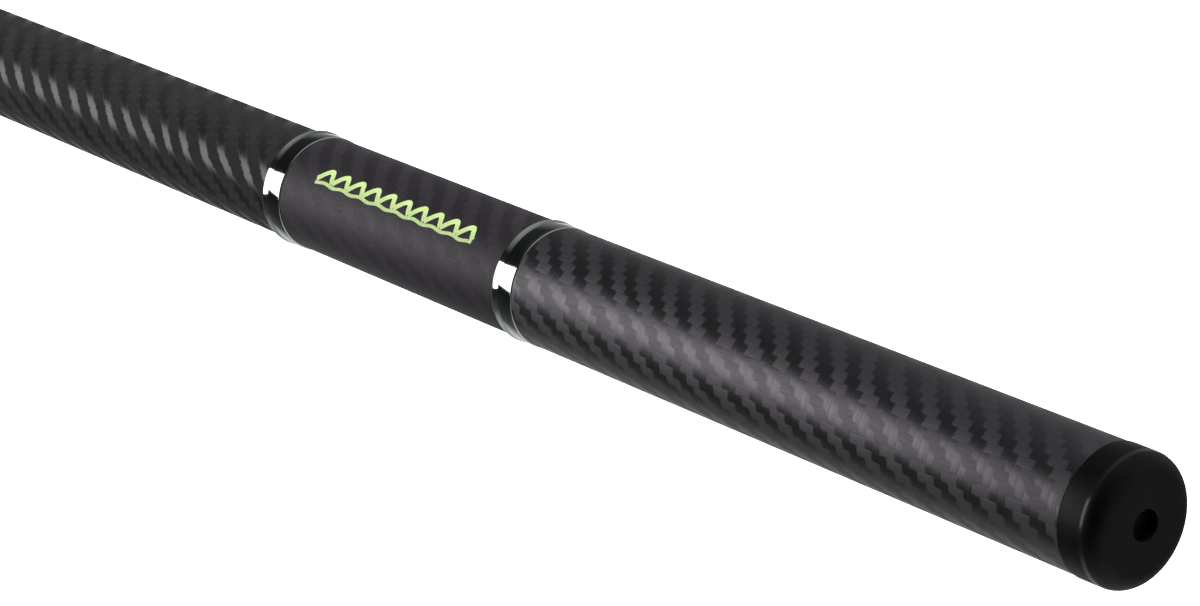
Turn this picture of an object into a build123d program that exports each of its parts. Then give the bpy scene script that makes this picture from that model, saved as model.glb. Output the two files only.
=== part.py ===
from build123d import *
import os
from math import cos, radians, sin

os.makedirs("parts", exist_ok=True)

# Long-handled beach sand scoop, in millimetres.
# The pole lies along X, with its butt at +X and the scoop head at -X. The origin is on the pole's
# axis, at the middle of the hand grip. +Z is up when the scoop lies on its back, mouth upwards.

# Driving dimensions: pole
GRIP_RADIUS = 15.0
GRIP_LENGTH = 180.8
SHAFT_RADIUS = 14.5
SHAFT_BORE = 12.7
POLE_LENGTH = 1050.0
LABEL_RADIUS = 14.9
LABEL_LENGTH = 89.4
RING_LENGTH = 7.4
RING_BAND_RADIUS = 15.2
RING_BEAD_RADIUS = 15.5
RING_BEAD_WIDTH = 2.4

# Driving dimensions: butt cap
CAP_RADIUS = 15.2
CAP_LENGTH = 10.6
CAP_EDGE_RADIUS = 4.4
CAP_RECESS_RADIUS = 3.6
CAP_RECESS_DEPTH = 3.0
SPIGOT_LENGTH = 22.0
SPIGOT_CLEARANCE = 0.05
SPIGOT_CHAMFER = 1.5

# Driving dimensions: socket and fasteners
SOCKET_RADIUS = 17.5
SOCKET_WALL = 2.0
SOCKET_LENGTH = 150.0
LINER_LIP = 3.0
POLE_END_GAP = 32.0
CORE_LENGTH = 110.0
CORE_CLEARANCE = 0.1
BOLT_RADIUS = 3.0
BOLT_HOLE_RADIUS = 3.2
BOLT_INSETS = (24.0, 84.0)
BOSS_RADIUS = 8.0
BOSS_SEAT = 20.0
WASHER_RADIUS = 6.0
WASHER_THICKNESS = 1.6
HEX_ACROSS_FLATS = 10.0
BOLT_HEAD_HEIGHT = 4.0
NUT_HEIGHT = 6.0
BOLT_TAIL = 1.5

# Driving dimensions: scoop head
TILT = 40.0
SHEET = 2.0
HALF_WIDTH = 88.0
SIDE_DEPTH = 78.0
DEPTH = 130.0
HALF_FLOOR = 40.0
BASKET_LENGTH = 246.0
SIDE_TOP_LENGTH = 108.0
SEAT_FROM_BACK = 70.0
HOLE_RADIUS = 5.0
HOLE_PITCH = 15.0
HOLE_MARGIN = 9.0
BAR_RADIUS = 3.5
BAR_BEND = 12.0
BRACE_RADIUS = 3.0
BRACE_REACH = 98.0
BRACE_HEIGHT = 11.0
BRACE_HALF_SPREAD = 62.0
LIP_THICKNESS = 3.0
LIP_OVERLAP = 20.0
LIP_REACH = 22.0
LIP_GRIND = 9.0
LIP_EDGE = 0.6
LIP_CORNER = 24.0
GUSSET = 4.0
GUSSET_REACH = 120.0
FOOT_THICKNESS = 4.0
FOOT_HEIGHT = 56.0
FOOT_HALF_WIDTH = 62.0
FOOT_CORNER = 14.0
FOOT_GUSSET_SPREAD = 42.0
TREAD_HOLE_RADIUS = 4.0
TREAD_PITCH = 20.0

# Places along the pole, from the butt towards the head
BUTT_END = GRIP_LENGTH / 2
CAP_FACE = BUTT_END + CAP_LENGTH
GRIP_FRONT = -GRIP_LENGTH / 2
LABEL_REAR = GRIP_FRONT - RING_LENGTH
LABEL_FRONT = LABEL_REAR - LABEL_LENGTH
POLE_END = BUTT_END - POLE_LENGTH
SEAT = POLE_END - POLE_END_GAP
SOCKET_MOUTH = SEAT + SOCKET_LENGTH
SOCKET_BORE = SOCKET_RADIUS - SOCKET_WALL

# The head's own directions: along the basket to its mouth, and up out of it.
# In the head's frame a point is (distance from the back, to the left, height over the deck).
TO_MOUTH = Vector(-cos(radians(TILT)), 0, sin(radians(TILT)))
HEAD_UP = Vector(sin(radians(TILT)), 0, cos(radians(TILT)))
HEAD_LEFT = Vector(0, -1, 0)
HEAD_ORIGIN = Vector(SEAT, 0, 0) - TO_MOUTH * SEAT_FROM_BACK - HEAD_UP * SHEET


def head_point(along, left, height):
    return HEAD_ORIGIN + TO_MOUTH * along + HEAD_LEFT * left + HEAD_UP * height


def write(piece, name):
    piece.label = name
    export_step(piece, f"parts/{name}.step")


def inside(point, outline, margin):
    """True when the point is in the convex outline, given anticlockwise, clear of its edges."""
    for start, end in zip(outline, outline[1:] + outline[:1]):
        edge = Vector(*end) - Vector(*start)
        reach = Vector(*point) - Vector(*start)
        if edge.cross(reach).Z / edge.length < margin:
            return False
    return True


def hole_centres(outline, blocked):
    """A staggered grid of centres that keeps off the outline's edges and the blocked rectangles."""
    row_step = HOLE_PITCH * sin(radians(60))
    lows = [min(p[i] for p in outline) for i in (0, 1)]
    highs = [max(p[i] for p in outline) for i in (0, 1)]
    middle = [(lows[i] + highs[i]) / 2 for i in (0, 1)]
    columns = int((highs[0] - lows[0]) / HOLE_PITCH) + 1
    rows = int((highs[1] - lows[1]) / row_step) + 1
    centres = []
    for row in range(-rows, rows + 1):
        stagger = HOLE_PITCH / 2 * (row % 2)
        for column in range(-columns, columns + 1):
            point = (middle[0] + column * HOLE_PITCH + stagger, middle[1] + row * row_step)
            hidden = any(
                abs(point[0] - x) < half_x and abs(point[1] - y) < half_y
                for x, y, half_x, half_y in blocked
            )
            if inside(point, outline, HOLE_MARGIN) and not hidden:
                centres.append(point)
    return centres


def perforated(plane, outline, blocked=()):
    """A flat sheet that stands outwards from the basket's inner face, with its drain holes."""
    with BuildPart() as panel:
        with BuildSketch(plane):
            with BuildLine():
                Polyline(*outline, close=True)
            make_face()
            with Locations(*hole_centres(outline, blocked)):
                Circle(HOLE_RADIUS, mode=Mode.SUBTRACT)
        extrude(amount=SHEET)
    return panel.part


# Pole: the carbon tube that everything slides on, drilled for the two cross bolts
BOLT_PLACES = [SOCKET_MOUTH - inset for inset in BOLT_INSETS]

with BuildPart() as pole_tube:
    with BuildSketch(Plane.YZ.offset(POLE_END)):
        Circle(SHAFT_RADIUS)
        Circle(SHAFT_BORE, mode=Mode.SUBTRACT)
    extrude(amount=POLE_LENGTH)
    with BuildSketch(Plane.XZ):
        with Locations(*[(x, 0) for x in BOLT_PLACES]):
            Circle(BOLT_HOLE_RADIUS)
    extrude(amount=SHAFT_RADIUS, both=True, mode=Mode.SUBTRACT)
write(pole_tube.part, "pole_tube")

# The plug inside the tube's lower end keeps the bolts from crushing the carbon.
with BuildPart() as pole_core:
    with BuildSketch(Plane.YZ.offset(POLE_END)):
        Circle(SHAFT_BORE - CORE_CLEARANCE)
    extrude(amount=CORE_LENGTH)
    with BuildSketch(Plane.XZ):
        with Locations(*[(x, 0) for x in BOLT_PLACES]):
            Circle(BOLT_HOLE_RADIUS)
    extrude(amount=SHAFT_RADIUS, both=True, mode=Mode.SUBTRACT)
write(pole_core.part, "pole_core")

with BuildPart() as grip_sleeve:
    with BuildSketch(Plane.YZ.offset(GRIP_FRONT)):
        Circle(GRIP_RADIUS)
        Circle(SHAFT_RADIUS, mode=Mode.SUBTRACT)
    extrude(amount=GRIP_LENGTH)
write(grip_sleeve.part, "grip_sleeve")

with BuildPart() as label_sleeve:
    with BuildSketch(Plane.YZ.offset(LABEL_FRONT)):
        Circle(LABEL_RADIUS)
        Circle(SHAFT_RADIUS, mode=Mode.SUBTRACT)
    extrude(amount=LABEL_LENGTH)
write(label_sleeve.part, "label_sleeve")

# Trim rings: a plain band on the butt's side and a raised bead on the head's side
for ring_name, rear in (("grip_ring", GRIP_FRONT), ("shaft_ring", LABEL_FRONT)):
    front = rear - RING_LENGTH
    bead_rear = front + RING_BEAD_WIDTH
    with BuildPart() as trim_ring:
        with BuildSketch(Plane.XZ):
            with BuildLine():
                Polyline(
                    (front, RING_BAND_RADIUS),
                    (front, SHAFT_RADIUS),
                    (rear, SHAFT_RADIUS),
                    (rear, RING_BAND_RADIUS),
                    (bead_rear, RING_BAND_RADIUS),
                )
                ThreePointArc(
                    (bead_rear, RING_BAND_RADIUS),
                    ((front + bead_rear) / 2, RING_BEAD_RADIUS),
                    (front, RING_BAND_RADIUS),
                )
            make_face()
        revolve(axis=Axis.X)
    write(trim_ring.part, ring_name)

# Butt cap: a rubber head with a rounded edge and a recess, on a spigot that pushes into the tube
with BuildPart() as butt_cap:
    with BuildSketch(Plane.YZ.offset(BUTT_END)):
        Circle(CAP_RADIUS)
    extrude(amount=CAP_LENGTH)
    fillet(butt_cap.edges().sort_by(Axis.X)[-1], CAP_EDGE_RADIUS)
    with BuildSketch(Plane.YZ.offset(CAP_FACE)):
        Circle(CAP_RECESS_RADIUS)
    extrude(amount=-CAP_RECESS_DEPTH, mode=Mode.SUBTRACT)
    with BuildSketch(Plane.YZ.offset(BUTT_END)):
        Circle(SHAFT_BORE - SPIGOT_CLEARANCE)
    extrude(amount=-SPIGOT_LENGTH)
    chamfer(butt_cap.edges().sort_by(Axis.X)[0], SPIGOT_CHAMFER)
write(butt_cap.part, "butt_cap")

# Socket: a steel tube whose lower end is cut along the deck that it is welded to
with BuildPart() as handle_socket:
    with BuildSketch(Plane.YZ.offset(SEAT - SOCKET_LENGTH)):
        Circle(SOCKET_RADIUS)
        Circle(SOCKET_BORE, mode=Mode.SUBTRACT)
    extrude(amount=2 * SOCKET_LENGTH)
    split(bisect_by=Plane(origin=head_point(0, 0, SHEET), z_dir=HEAD_UP), keep=Keep.TOP)
    with BuildSketch(Plane.XZ):
        with Locations(*[(x, 0) for x in BOLT_PLACES]):
            Circle(BOLT_HOLE_RADIUS)
    extrude(amount=SOCKET_RADIUS, both=True, mode=Mode.SUBTRACT)
write(handle_socket.part, "handle_socket")

# Liner: a plastic sleeve that keeps the steel off the carbon, with a lip outside the socket
with BuildPart() as socket_liner:
    with BuildSketch(Plane.YZ.offset(POLE_END)):
        Circle(SOCKET_BORE)
    extrude(amount=SOCKET_MOUTH - POLE_END)
    with BuildSketch(Plane.YZ.offset(SOCKET_MOUTH)):
        Circle(SOCKET_RADIUS)
    extrude(amount=LINER_LIP)
    fillet(socket_liner.edges().sort_by(Axis.X)[-1], LINER_LIP / 2)
    with BuildSketch(Plane.YZ.offset(POLE_END)):
        Circle(SHAFT_RADIUS)
    extrude(amount=SOCKET_MOUTH - POLE_END + LINER_LIP, mode=Mode.SUBTRACT)
    with BuildSketch(Plane.XZ):
        with Locations(*[(x, 0) for x in BOLT_PLACES]):
            Circle(BOLT_HOLE_RADIUS)
    extrude(amount=SOCKET_RADIUS, both=True, mode=Mode.SUBTRACT)
write(socket_liner.part, "socket_liner")

# Bosses: flat seats for the bolts, welded on the round socket
with BuildPart() as socket_bosses:
    with BuildSketch(Plane.XZ):
        with Locations(*[(x, 0) for x in BOLT_PLACES]):
            Circle(BOSS_RADIUS)
            Circle(BOLT_HOLE_RADIUS, mode=Mode.SUBTRACT)
    extrude(amount=BOSS_SEAT, both=True)
    with BuildSketch(Plane.YZ.offset(SEAT)):
        Circle(SOCKET_RADIUS)
    extrude(amount=SOCKET_LENGTH, mode=Mode.SUBTRACT)
write(socket_bosses.part, "socket_bosses")

# Fasteners: heads on the left, nuts on the right
HEAD_SEAT = BOSS_SEAT + WASHER_THICKNESS
HEX_RADIUS = HEX_ACROSS_FLATS / 2

with BuildPart() as clamp_washers:
    for seat_plane in (Plane.XZ.offset(BOSS_SEAT), Plane.XZ.offset(-HEAD_SEAT)):
        with BuildSketch(seat_plane):
            with Locations(*[(x, 0) for x in BOLT_PLACES]):
                Circle(WASHER_RADIUS)
                Circle(BOLT_HOLE_RADIUS, mode=Mode.SUBTRACT)
        extrude(amount=WASHER_THICKNESS)
write(clamp_washers.part, "clamp_washers")

with BuildPart() as clamp_bolts:
    with BuildSketch(Plane.XZ.offset(HEAD_SEAT)):
        with Locations(*[(x, 0) for x in BOLT_PLACES]):
            RegularPolygon(HEX_RADIUS, 6, major_radius=False)
    extrude(amount=BOLT_HEAD_HEIGHT)
    with BuildSketch(Plane.XZ.offset(HEAD_SEAT)):
        with Locations(*[(x, 0) for x in BOLT_PLACES]):
            Circle(BOLT_RADIUS)
    extrude(amount=-(2 * HEAD_SEAT + NUT_HEIGHT + BOLT_TAIL))
write(clamp_bolts.part, "clamp_bolts")

with BuildPart() as clamp_nuts:
    with BuildSketch(Plane.XZ.offset(-HEAD_SEAT)):
        with Locations(*[(x, 0) for x in BOLT_PLACES]):
            RegularPolygon(HEX_RADIUS, 6, major_radius=False)
            Circle(BOLT_RADIUS, mode=Mode.SUBTRACT)
    extrude(amount=-NUT_HEIGHT)
write(clamp_nuts.part, "clamp_nuts")

# Basket: seven flat perforated sheets that meet along their inner edges
BILGE_WIDTH = (Vector(HALF_WIDTH, SIDE_DEPTH) - Vector(HALF_FLOOR, DEPTH)).length
BILGE_OUT = Vector(0, DEPTH - SIDE_DEPTH, HALF_FLOOR - HALF_WIDTH) / BILGE_WIDTH
BAR_SLOPE = Vector(BASKET_LENGTH - SIDE_TOP_LENGTH, -SIDE_DEPTH).normalized()
BAR_START = Vector(SIDE_TOP_LENGTH, 0) + Vector(-BAR_SLOPE.Y, BAR_SLOPE.X) * BAR_RADIUS
BAR_CORNER = BAR_START + BAR_SLOPE * ((SHEET / 2 - BAR_START.Y) / BAR_SLOPE.Y)
BAR_END = BAR_START + BAR_SLOPE * Vector(BASKET_LENGTH - SIDE_TOP_LENGTH, SIDE_DEPTH).length
DECK_LENGTH = BAR_CORNER.X - BAR_RADIUS

deck_plane = Plane(origin=head_point(0, 0, 0), x_dir=TO_MOUTH, z_dir=HEAD_UP)
deck_outline = [
    (0, -HALF_WIDTH),
    (DECK_LENGTH, -HALF_WIDTH),
    (DECK_LENGTH, HALF_WIDTH),
    (0, HALF_WIDTH),
]
socket_print = (SEAT_FROM_BACK / 2, 0, SEAT_FROM_BACK, SOCKET_RADIUS + HOLE_RADIUS)
write(perforated(deck_plane, deck_outline, [socket_print]), "basket_deck")

back_plane = Plane(origin=head_point(0, 0, 0), x_dir=-HEAD_LEFT, z_dir=-TO_MOUTH)
back_outline = [
    (-HALF_WIDTH, 0),
    (-HALF_WIDTH, -SIDE_DEPTH),
    (-HALF_FLOOR, -DEPTH),
    (HALF_FLOOR, -DEPTH),
    (HALF_WIDTH, -SIDE_DEPTH),
    (HALF_WIDTH, 0),
]
gusset_prints = [
    (side * FOOT_GUSSET_SPREAD, -DEPTH / 2, GUSSET / 2 + HOLE_RADIUS, DEPTH / 2)
    for side in (-1, 1)
]
write(perforated(back_plane, back_outline, gusset_prints), "basket_back")

floor_plane = Plane(origin=head_point(0, 0, -DEPTH), x_dir=TO_MOUTH, z_dir=-HEAD_UP)
floor_outline = [
    (0, -HALF_FLOOR),
    (BASKET_LENGTH, -HALF_FLOOR),
    (BASKET_LENGTH, HALF_FLOOR),
    (0, HALF_FLOOR),
]
lip_print = (BASKET_LENGTH, 0, LIP_OVERLAP + HOLE_MARGIN, HALF_WIDTH)
write(perforated(floor_plane, floor_outline, [lip_print]), "basket_floor")

for side_name, side in (("left", 1), ("right", -1)):
    side_plane = Plane(
        origin=head_point(0, side * HALF_WIDTH, 0), x_dir=TO_MOUTH, z_dir=HEAD_LEFT * side
    )
    side_outline = [
        (0, 0),
        (0, side * SIDE_DEPTH),
        (BASKET_LENGTH, side * SIDE_DEPTH),
        (SIDE_TOP_LENGTH, 0),
    ]
    write(perforated(side_plane, side_outline[::-side]), f"basket_side_{side_name}")

    bilge_out = HEAD_LEFT * (side * BILGE_OUT.Y) + HEAD_UP * BILGE_OUT.Z
    bilge_plane = Plane(
        origin=head_point(0, side * HALF_WIDTH, -SIDE_DEPTH), x_dir=TO_MOUTH, z_dir=bilge_out
    )
    bilge_outline = [
        (0, 0),
        (0, side * BILGE_WIDTH),
        (BASKET_LENGTH, side * BILGE_WIDTH),
        (BASKET_LENGTH, 0),
    ]
    bilge_sheet = perforated(bilge_plane, bilge_outline[::-side], [lip_print])
    write(bilge_sheet, f"basket_bilge_{side_name}")


# Cutting lip: a bent strip under the basket's front, ground to an edge, with its top corners cut
def trough(out):
    """Right half of the trough's bilge and floor, moved outwards by the given distance."""
    bilge = Vector(BILGE_OUT.Y, BILGE_OUT.Z)
    floor = Vector(0, -1)
    top = Vector(HALF_WIDTH, -SIDE_DEPTH) + bilge * out
    corner = Vector(HALF_FLOOR, -DEPTH) + (bilge + floor) * (out / (1 + bilge.dot(floor)))
    return [(top.X, top.Y), (corner.X, corner.Y)]


def across(points):
    """The right half's points, and then their mirror images back up the left side."""
    return points + [(-x, y) for x, y in reversed(points)]


def lip_section(along, thickness):
    section_plane = Plane(origin=head_point(along, 0, 0), x_dir=HEAD_LEFT, z_dir=TO_MOUTH)
    with BuildSketch(section_plane) as section:
        with BuildLine():
            Polyline(*across(trough(SHEET)), *reversed(across(trough(SHEET + thickness))), close=True)
        make_face()
    return section.sketch


lip_tip = BASKET_LENGTH + LIP_REACH
with BuildPart() as cutting_lip:
    lip_body = LIP_OVERLAP + LIP_REACH - LIP_GRIND
    lip_rear = lip_section(BASKET_LENGTH - LIP_OVERLAP, LIP_THICKNESS)
    extrude(lip_rear, amount=lip_body, dir=TO_MOUTH)
    loft([lip_section(lip_tip - LIP_GRIND, LIP_THICKNESS), lip_section(lip_tip, LIP_EDGE)])
    with BuildSketch(Plane(origin=head_point(0, 0, 0), x_dir=TO_MOUTH, z_dir=-HEAD_LEFT)):
        with BuildLine():
            Polyline(
                (BASKET_LENGTH, -SIDE_DEPTH - LIP_THICKNESS),
                (lip_tip, -SIDE_DEPTH - LIP_CORNER),
                (lip_tip + LIP_REACH, -SIDE_DEPTH - LIP_CORNER),
                (lip_tip + LIP_REACH, 0),
                (BASKET_LENGTH, 0),
                close=True,
            )
        make_face()
    extrude(amount=2 * HALF_WIDTH, both=True, mode=Mode.SUBTRACT)
write(cutting_lip.part, "cutting_lip")

# Mouth bar: one bent rod along both sloping edges and across the deck's front
with BuildPart() as mouth_bar:
    bar_left = HALF_WIDTH + SHEET / 2
    with BuildLine() as bar_path:
        FilletPolyline(
            head_point(BAR_END.X, bar_left, BAR_END.Y),
            head_point(BAR_CORNER.X, bar_left, BAR_CORNER.Y),
            head_point(BAR_CORNER.X, -bar_left, BAR_CORNER.Y),
            head_point(BAR_END.X, -bar_left, BAR_END.Y),
            radius=BAR_BEND,
        )
    with BuildSketch(bar_path.line ^ 0):
        Circle(BAR_RADIUS)
    sweep()
write(mouth_bar.part, "mouth_bar")

# Braces: straight rods from the mouth bar to the socket, with saddle-cut ends
for side_name, side in (("left", 1), ("right", -1)):
    bar_end = head_point(BAR_CORNER.X, side * BRACE_HALF_SPREAD, BAR_CORNER.Y + BAR_RADIUS)
    socket_end = Vector(SEAT + BRACE_REACH, 0, BRACE_HEIGHT)
    with BuildPart() as brace:
        with BuildSketch(Plane(origin=bar_end, z_dir=socket_end - bar_end)):
            Circle(BRACE_RADIUS)
        extrude(amount=(socket_end - bar_end).length)
        with BuildSketch(Plane.YZ.offset(SEAT)):
            Circle(SOCKET_RADIUS)
        extrude(amount=SOCKET_LENGTH, mode=Mode.SUBTRACT)
        bar_middle = head_point(BAR_CORNER.X, 0, BAR_CORNER.Y)
        with BuildSketch(Plane(origin=bar_middle, z_dir=HEAD_LEFT)):
            Circle(BAR_RADIUS)
        extrude(amount=HALF_WIDTH, both=True, mode=Mode.SUBTRACT)
    write(brace.part, f"brace_{side_name}")


# Foot plate: square to the pole, held off the sloping back by two gussets
def back_at(height):
    """X of the back sheet's outer face at a height in the row's frame."""
    top = head_point(-SHEET, 0, 0)
    return top.X + HEAD_UP.X * (height - top.Z) / HEAD_UP.Z


deck_rear = head_point(0, 0, SHEET)
foot_top = deck_rear.Z - SHEET * 2
foot_bottom = foot_top - FOOT_HEIGHT
foot_face = back_at(foot_top)
foot_middle = (foot_top + foot_bottom) / 2

with BuildPart() as spine_gusset:
    under_socket = -SOCKET_RADIUS
    deck_meets = deck_rear + TO_MOUTH * ((under_socket - deck_rear.Z) / TO_MOUTH.Z)
    with BuildSketch(Plane.XZ):
        with BuildLine():
            Polyline(
                (deck_meets.X, under_socket),
                (deck_rear.X, deck_rear.Z),
                (SEAT + GUSSET_REACH - GUSSET, under_socket - GUSSET),
                (SEAT + GUSSET_REACH, under_socket),
                close=True,
            )
        make_face()
    extrude(amount=GUSSET / 2, both=True)
write(spine_gusset.part, "spine_gusset")

with BuildPart() as foot_plate:
    with BuildSketch(Plane(origin=(foot_face, 0, foot_middle), x_dir=(0, 1, 0), z_dir=(1, 0, 0))):
        Rectangle(2 * FOOT_HALF_WIDTH, FOOT_HEIGHT)
        with GridLocations(TREAD_PITCH, TREAD_PITCH, 5, 2):
            Circle(TREAD_HOLE_RADIUS, mode=Mode.SUBTRACT)
    extrude(amount=FOOT_THICKNESS)
    fillet(foot_plate.edges().filter_by(Axis.X).group_by(Axis.Z)[0], FOOT_CORNER)
write(foot_plate.part, "foot_plate")

for side_name, side in (("left", 1), ("right", -1)):
    gusset_foot = foot_bottom - GUSSET * 2
    with BuildPart() as foot_gusset:
        with BuildSketch(Plane.XZ.offset(side * FOOT_GUSSET_SPREAD)):
            with BuildLine():
                Polyline(
                    (foot_face, foot_top),
                    (foot_face, foot_bottom + GUSSET),
                    (back_at(gusset_foot), gusset_foot),
                    close=True,
                )
            make_face()
        extrude(amount=GUSSET / 2, both=True)
    write(foot_gusset.part, f"foot_gusset_{side_name}")
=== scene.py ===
"""Looks of a long-handled sand scoop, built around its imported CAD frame.

Sizes of the pole, the head and the welds are in millimetres, and MM turns them into metres.
The camera, the floor and the lights are in metres.
"""

import math

import bpy
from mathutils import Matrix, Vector


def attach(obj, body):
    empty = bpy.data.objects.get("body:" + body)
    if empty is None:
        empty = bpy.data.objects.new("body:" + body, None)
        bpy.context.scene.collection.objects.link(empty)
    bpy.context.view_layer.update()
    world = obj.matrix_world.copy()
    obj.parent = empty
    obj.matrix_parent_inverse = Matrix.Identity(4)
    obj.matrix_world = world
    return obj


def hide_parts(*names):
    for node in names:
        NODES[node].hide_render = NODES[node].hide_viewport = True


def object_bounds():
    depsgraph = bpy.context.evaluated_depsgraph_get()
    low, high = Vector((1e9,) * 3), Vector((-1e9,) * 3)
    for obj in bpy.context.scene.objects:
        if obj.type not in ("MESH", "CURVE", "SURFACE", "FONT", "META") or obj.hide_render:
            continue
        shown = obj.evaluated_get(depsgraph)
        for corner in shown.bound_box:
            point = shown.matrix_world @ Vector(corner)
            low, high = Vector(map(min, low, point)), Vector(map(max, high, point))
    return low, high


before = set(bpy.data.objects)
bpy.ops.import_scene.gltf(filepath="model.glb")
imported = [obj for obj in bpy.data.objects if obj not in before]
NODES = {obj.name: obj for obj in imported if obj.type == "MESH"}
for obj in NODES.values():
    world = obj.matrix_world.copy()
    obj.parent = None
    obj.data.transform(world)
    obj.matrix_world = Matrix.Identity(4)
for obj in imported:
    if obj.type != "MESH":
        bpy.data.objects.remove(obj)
CAD_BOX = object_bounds()
SCOOP, CAP = "scoop", "cap"
MM = 0.001

# ---------------------------------------------------------------- camera
CAMERA_AIM = Vector((-0.0751, 0.0001, 0.0004))
CAMERA_BACK = Vector((0.729, -0.5985, 0.3322))
CAMERA_DISTANCE = 0.8975
CAMERA_LENS = 112.8

camera_data = bpy.data.cameras.new("camera")
camera_data.lens = CAMERA_LENS
camera_data.clip_end = 200.0
camera = bpy.data.objects.new("camera", camera_data)
bpy.context.scene.collection.objects.link(camera)
camera.location = CAMERA_AIM + CAMERA_BACK * CAMERA_DISTANCE
camera.rotation_mode = "QUATERNION"
camera.rotation_quaternion = (-CAMERA_BACK).to_track_quat("-Z", "Y")
bpy.context.scene.camera = camera
bpy.context.scene.view_settings.view_transform = "Standard"


# ---------------------------------------------------------------- shader helpers
class Shader:
    """A node tree with one short call for each kind of node used here."""

    def __init__(self, name, tree=None):
        if tree is None:
            self.material = bpy.data.materials.new(name)
            self.material.use_nodes = True
            tree = self.material.node_tree
            self.surface = tree.nodes["Principled BSDF"]
        self.tree = tree

    def node(self, kind, **settings):
        made = self.tree.nodes.new(kind)
        for name, value in settings.items():
            setattr(made, name, value)
        return made

    def feed(self, socket, value):
        if isinstance(value, bpy.types.NodeSocket):
            self.tree.links.new(value, socket)
        else:
            socket.default_value = value

    def set(self, **values):
        """Sets or links the surface's sockets, whose names are written with _ for a space."""
        for name, value in values.items():
            self.feed(self.surface.inputs[name.replace("_", " ")], value)

    def position(self):
        """The point's place in the row's frame, as three sockets."""
        return self.split(self.node("ShaderNodeTexCoord").outputs["Object"])

    def split(self, vector):
        made = self.node("ShaderNodeSeparateXYZ")
        self.feed(made.inputs[0], vector)
        return made.outputs

    def join(self, x, y, z):
        made = self.node("ShaderNodeCombineXYZ")
        for socket, value in zip(made.inputs, (x, y, z)):
            self.feed(socket, value)
        return made.outputs[0]

    def stretched(self, x, y, z, along, across):
        """A place scaled by one number along x, and by another along y and z."""
        return self.join(
            self.math("MULTIPLY", x, along),
            self.math("MULTIPLY", y, across),
            self.math("MULTIPLY", z, across),
        )

    def math(self, operation, *values):
        made = self.node("ShaderNodeMath", operation=operation)
        for socket, value in zip(made.inputs, values):
            self.feed(socket, value)
        return made.outputs[0]

    def span(self, value, low, high, to_low=0.0, to_high=1.0, smooth=False):
        made = self.node("ShaderNodeMapRange")
        made.interpolation_type = "SMOOTHSTEP" if smooth else "LINEAR"
        for socket, number in zip(made.inputs, (value, low, high, to_low, to_high)):
            self.feed(socket, number)
        return made.outputs[0]

    def spread(self, noise, to_low=0.0, to_high=1.0):
        """Noise stays mostly within 0.3 to 0.7, which this spreads over a range."""
        return self.span(noise, 0.3, 0.7, to_low, to_high)

    def mix(self, share, a, b):
        """Mixes two numbers."""
        made = self.node("ShaderNodeMix", data_type="FLOAT")
        for index, value in ((0, share), (2, a), (3, b)):
            self.feed(made.inputs[index], value)
        return made.outputs[0]

    def mix_vector(self, share, a, b):
        made = self.node("ShaderNodeMix", data_type="VECTOR")
        for index, value in ((0, share), (4, a), (5, b)):
            self.feed(made.inputs[index], value)
        return made.outputs[1]

    def blend(self, share, a, b):
        """Mixes two colours."""
        made = self.node("ShaderNodeMix", data_type="RGBA")
        for index, value in ((0, share), (6, a), (7, b)):
            self.feed(made.inputs[index], value)
        return made.outputs[2]

    def noise(self, vector, scale=1.0, detail=2.0, roughness=0.5):
        made = self.node("ShaderNodeTexNoise")
        self.feed(made.inputs["Vector"], vector)
        for name, value in (("Scale", scale), ("Detail", detail), ("Roughness", roughness)):
            made.inputs[name].default_value = value
        return made.outputs[0]

    def ramp(self, value, stops):
        made = self.node("ShaderNodeValToRGB")
        self.feed(made.inputs[0], value)
        elements = made.color_ramp.elements
        while len(elements) < len(stops):
            elements.new(0.5)
        for element, (place, colour) in zip(elements, stops):
            element.position = place
            element.color = colour if isinstance(colour, tuple) else (colour,) * 3 + (1.0,)
        return made.outputs[0]

    def bump(self, height, depth, strength=1.0):
        made = self.node("ShaderNodeBump")
        made.inputs["Strength"].default_value = strength
        made.inputs["Distance"].default_value = depth
        self.feed(made.inputs["Height"], height)
        return made.outputs[0]


def rgb(red, green=None, blue=None):
    """A linear colour, or a grey from one number."""
    return (red, red if green is None else green, red if blue is None else blue, 1.0)


# ---------------------------------------------------------------- materials: woven carbon
TOW = 2.355 * MM
TOWS_AROUND = 40
TWILL = 4.0
WANDER = 1.1
WALE_HEIGHT, WALE_EDGE = 0.8, 0.4
CROWN_RISE, CROWN_FOOT = 0.6, 0.4
FINE_HAIR, COARSE_HAIR = 6.0, 0.3
HAIR_SHADE, PATCH_SHADE = 0.55, 0.45
HAIR_GLOSS = 0.03
POLE_AXIS = (1.0, 0.0, 0.0)


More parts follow.
